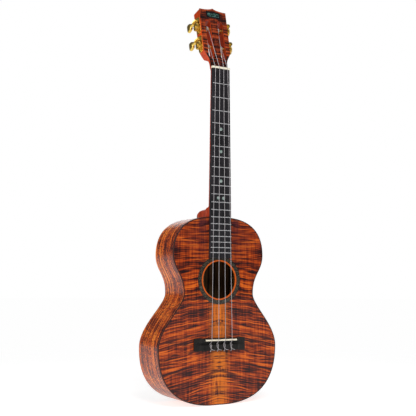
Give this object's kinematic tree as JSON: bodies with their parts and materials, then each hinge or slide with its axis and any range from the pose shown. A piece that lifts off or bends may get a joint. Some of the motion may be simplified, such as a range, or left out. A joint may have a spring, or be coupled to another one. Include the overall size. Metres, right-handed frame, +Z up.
{
  "type": "ukulele",
  "caption": "Baritone ukulele: hollow flamed-wood body with round soundhole, tie bridge, fretted neck and slotted head whose worm-geared tuning keys turn the string rollers.",
  "frame": {"origin": "centre of the nut on the fretboard's playing face, where a hanger's yoke holds the instrument under its head", "axes": "+Z up the neck towards the head, +X to the right seen from the front, +Y from the soundboard through the body to the back"},
  "size_m": [0.249, 0.0989, 0.7548],
  "materials": {
    "koa_top": "high gloss",
    "koa_side": "high gloss",
    "koa_back": "high gloss",
    "koa_head": "high gloss",
    "binding": "high gloss",
    "neck_wood": "high gloss",
    "inner_wood": "bare",
    "brace_wood": "bare",
    "ebony": "satin",
    "bone": "polished",
    "fret_metal": "polished",
    "gold": "polished plating",
    "shell_inlay": "polished under lacquer",
    "string": "clear nylon"
  },
  "bodies": {
    "body": {"soundboard_left": "koa_top", "soundboard_right": "koa_top", "rosette": "shell_inlay", "top_binding": "binding", "side_left": "koa_side", "side_right": "koa_side", "back_left": "koa_back", "back_right": "koa_back", "back_binding": "binding", "top_linings": "inner_wood", "back_linings": "inner_wood", "neck_block": "inner_wood", "tail_block": "inner_wood", "soundboard_braces": "brace_wood", "bridge_patch": "inner_wood", "back_braces": "brace_wood", "back_centre_strip": "brace_wood", "neck": "neck_wood", "heel_cap": "ebony", "headplate": "koa_head", "head_inlay": "shell_inlay", "fretboard": "ebony", "frets": "fret_metal", "fret_markers": "shell_inlay", "nut": "bone", "bridge": "ebony", "saddle": "bone", "tuner_screws": "gold", "string_1": "string", "string_2": "string", "string_3": "string", "string_4": "string", "tuner_plate_1": "gold", "tuner_plate_2": "gold", "tuner_plate_3": "gold", "tuner_plate_4": "gold"},
    "key_1": {"worm_1": "gold", "button_1": "gold"},
    "post_1": {"roller_1": "gold", "gear_1": "gold", "gear_screw_1": "gold", "string_wraps_1": "string"},
    "key_2": {"worm_2": "gold", "button_2": "gold"},
    "post_2": {"roller_2": "gold", "gear_2": "gold", "gear_screw_2": "gold", "string_wraps_2": "string"},
    "key_3": {"worm_3": "gold", "button_3": "gold"},
    "post_3": {"roller_3": "gold", "gear_3": "gold", "gear_screw_3": "gold", "string_wraps_3": "string"},
    "key_4": {"worm_4": "gold", "button_4": "gold"},
    "post_4": {"roller_4": "gold", "gear_4": "gold", "gear_screw_4": "gold", "string_wraps_4": "string"}
  },
  "joints": [
    {"name": "key_1_turn", "type": "hinge", "parent": "body", "child": "key_1", "pos_m": [0.03475, 0.0306, 0.05868], "axis": [0, 0.9744, -0.225], "continuous": true},
    {"name": "key_2_turn", "type": "hinge", "parent": "body", "child": "key_2", "pos_m": [0.03475, 0.03949, 0.09716], "axis": [0, 0.9744, -0.225], "continuous": true},
    {"name": "key_3_turn", "type": "hinge", "parent": "body", "child": "key_3", "pos_m": [-0.03475, 0.03949, 0.09716], "axis": [0, 0.9744, -0.225], "continuous": true},
    {"name": "key_4_turn", "type": "hinge", "parent": "body", "child": "key_4", "pos_m": [-0.03475, 0.0306, 0.05868], "axis": [0, 0.9744, -0.225], "continuous": true},
    {"name": "post_1_turn", "type": "hinge", "parent": "body", "child": "post_1", "pos_m": [0.029, 0.02813, 0.04796], "axis": [1, 0, 0], "continuous": true},
    {"name": "post_2_turn", "type": "hinge", "parent": "body", "child": "post_2", "pos_m": [0.029, 0.03701, 0.08645], "axis": [1, 0, 0], "continuous": true},
    {"name": "post_3_turn", "type": "hinge", "parent": "body", "child": "post_3", "pos_m": [-0.029, 0.03701, 0.08645], "axis": [1, 0, 0], "continuous": true},
    {"name": "post_4_turn", "type": "hinge", "parent": "body", "child": "post_4", "pos_m": [-0.029, 0.02813, 0.04796], "axis": [1, 0, 0], "continuous": true}
  ],
  "couplings": [
    {"joint": "post_1_turn", "follows": "key_1_turn", "ratio": 0.066667},
    {"joint": "post_2_turn", "follows": "key_2_turn", "ratio": 0.066667},
    {"joint": "post_3_turn", "follows": "key_3_turn", "ratio": -0.066667},
    {"joint": "post_4_turn", "follows": "key_4_turn", "ratio": -0.066667}
  ]
}
